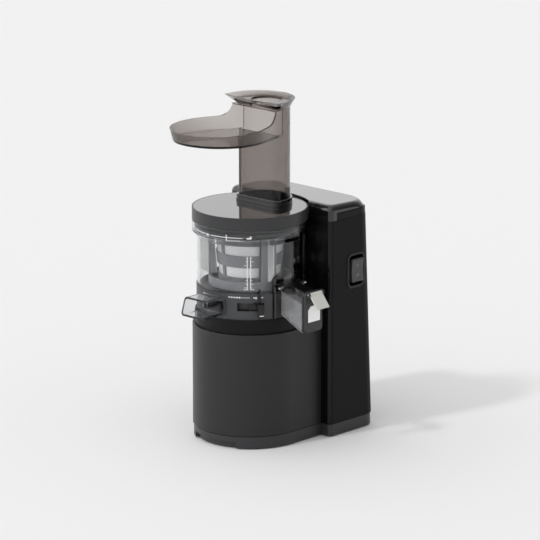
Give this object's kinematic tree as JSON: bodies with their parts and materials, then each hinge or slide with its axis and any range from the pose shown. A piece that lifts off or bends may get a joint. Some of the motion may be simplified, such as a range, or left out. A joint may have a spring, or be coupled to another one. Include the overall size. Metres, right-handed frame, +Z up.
{
  "type": "cold press juicer",
  "caption": "Vertical cold press juicer with a motor drum, rear column, clear juicing bowl with screw and strainer, spouts, lid, feed chute and tray.",
  "frame": {"origin": "where the axis of the drum and the screw meets the surface that the juicer stands on", "axes": "+Z up, +Y to the rear column, -Y to the pulp spout and tray, +X to the juice spout and switch"},
  "size_m": [0.1974, 0.2456, 0.4],
  "materials": {
    "matte_black": "fine moulded texture",
    "satin_black": "satin",
    "gloss_black": "polished",
    "dark_grey": "satin",
    "rubber_black": "dull",
    "switch_grey": "semi-gloss",
    "motor_steel": "rolled sheet",
    "lamination": "stamped",
    "copper": "enamelled wire",
    "steel": "turned",
    "sintered": "sintered",
    "gear_plastic": "moulded",
    "housing_alloy": "die cast",
    "board_green": "solder mask",
    "lead_red": "insulated wire",
    "clear_plastic": "clear moulded",
    "clear_spout": "clear moulded",
    "smoke_plastic": "smoke tinted",
    "silicone_white": "soft",
    "warm_grey": "satin",
    "white_plastic": "satin",
    "mesh_steel": "etched",
    "frame_grey": "satin",
    "screw_black": "polished"
  },
  "bodies": {
    "base": {"plinth": "dark_grey", "feet": "rubber_black", "drum_shell": "matte_black", "top_deck": "satin_black", "column_shell": "matte_black", "column_front": "gloss_black", "column_cap": "gloss_black", "cap_band": "satin_black", "switch_bezel": "gloss_black", "motor_can": "motor_steel", "stator_core": "lamination", "field_coils": "copper", "motor_bearings": "steel", "motor_mounts": "rubber_black", "gearbox_housing": "housing_alloy", "output_bearing": "steel", "shaft_seal": "rubber_black", "power_board": "board_green", "motor_lead": "lead_red", "cable_gland": "rubber_black", "base_screws": "steel"},
    "rocker": {"switch_rocker": "switch_grey"},
    "rotor": {"rotor": "lamination", "sun_gear": "sintered", "cooling_fan": "frame_grey"},
    "output": {"output_shaft": "steel"},
    "planet_1": {"planet_gear_1": "gear_plastic"},
    "planet_2": {"planet_gear_2": "gear_plastic"},
    "planet_3": {"planet_gear_3": "gear_plastic"},
    "bowl": {"bowl_base": "dark_grey", "juicing_bowl": "clear_plastic", "juice_spout": "clear_spout", "spout_bracket": "gloss_black", "pulp_spout": "clear_spout", "bowl_seal": "rubber_black", "cap_pin": "steel", "strainer_frame": "frame_grey", "strainer_mesh": "mesh_steel", "idler_pin": "steel"},
    "lever": {"pulp_lever": "gloss_black"},
    "juice_cap": {"juice_cap": "dark_grey", "cap_gasket": "rubber_black", "cap_arm": "gloss_black", "cap_pad": "white_plastic", "lever_pin": "steel"},
    "cap_lever": {"cap_lever": "warm_grey"},
    "auger": {"auger": "screw_black", "auger_gear": "frame_grey"},
    "brush": {"brush_frame": "frame_grey", "brush_blades": "silicone_white"},
    "idler": {"idler_gear": "gear_plastic"},
    "lid": {"lid": "dark_grey", "lid_top": "gloss_black", "lid_collar": "gloss_black", "lid_bushing": "gear_plastic", "lid_seal": "rubber_black"},
    "hopper": {"hopper": "smoke_plastic"}
  },
  "joints": [
    {"name": "drive_spin", "type": "hinge", "parent": "base", "child": "output", "pos_m": [0, 0, 0.11], "axis": [0, 0, 1], "continuous": true},
    {"name": "rotor_spin", "type": "hinge", "parent": "base", "child": "rotor", "pos_m": [0, 0, 0.055], "axis": [0, 0, 1], "continuous": true},
    {"name": "planet_1_spin", "type": "hinge", "parent": "output", "child": "planet_1", "pos_m": [0.015, 0, 0.1], "axis": [0, 0, 1], "continuous": true},
    {"name": "planet_2_spin", "type": "hinge", "parent": "output", "child": "planet_2", "pos_m": [-0.0075, 0.01299, 0.1], "axis": [0, 0, 1], "continuous": true},
    {"name": "planet_3_spin", "type": "hinge", "parent": "output", "child": "planet_3", "pos_m": [-0.0075, -0.01299, 0.1], "axis": [0, 0, 1], "continuous": true},
    {"name": "rocker_tilt", "type": "hinge", "parent": "base", "child": "rocker", "pos_m": [0.0773, 0.0938, 0.1948], "axis": [0, 1, 0], "range_deg": [-7, 7]},
    {"name": "bowl_lift", "type": "slide", "parent": "base", "child": "bowl", "axis": [0, 0, 1], "range_m": [0, 0.06]},
    {"name": "pulp_lever_swing", "type": "hinge", "parent": "bowl", "child": "lever", "pos_m": [0, 0, 0.17], "axis": [0, 0, 1], "range_deg": [-20, 0]},
    {"name": "juice_cap_swing", "type": "hinge", "parent": "bowl", "child": "juice_cap", "pos_m": [0.0675, 0, 0.1915], "axis": [0, -1, 0], "range_deg": [0, 75]},
    {"name": "cap_lever_swing", "type": "hinge", "parent": "juice_cap", "child": "cap_lever", "pos_m": [0.1036, 0, 0.1886], "axis": [0, -1, 0], "range_deg": [-28, 40]},
    {"name": "auger_spin", "type": "hinge", "parent": "bowl", "child": "auger", "pos_m": [0, 0, 0.21], "axis": [0, 0, 1], "continuous": true},
    {"name": "brush_spin", "type": "hinge", "parent": "bowl", "child": "brush", "pos_m": [0, 0, 0.21], "axis": [0, 0, 1], "continuous": true},
    {"name": "idler_spin", "type": "hinge", "parent": "bowl", "child": "idler", "pos_m": [0, 0.0225, 0.183], "axis": [0, 0, 1], "continuous": true},
    {"name": "lid_twist", "type": "hinge", "parent": "bowl", "child": "lid", "pos_m": [0, 0, 0.26], "axis": [0, 0, 1], "range_deg": [0, 30]},
    {"name": "hopper_lift", "type": "slide", "parent": "lid", "child": "hopper", "axis": [0, 0, 1], "range_m": [0, 0.02]}
  ],
  "couplings": [
    {"joint": "rotor_spin", "follows": "drive_spin", "ratio": 5},
    {"joint": "planet_1_spin", "follows": "drive_spin", "ratio": -2.6667},
    {"joint": "planet_2_spin", "follows": "drive_spin", "ratio": -2.6667},
    {"joint": "planet_3_spin", "follows": "drive_spin", "ratio": -2.6667},
    {"joint": "auger_spin", "follows": "drive_spin", "ratio": 1},
    {"joint": "brush_spin", "follows": "drive_spin", "ratio": -0.5},
    {"joint": "idler_spin", "follows": "drive_spin", "ratio": -2}
  ]
}
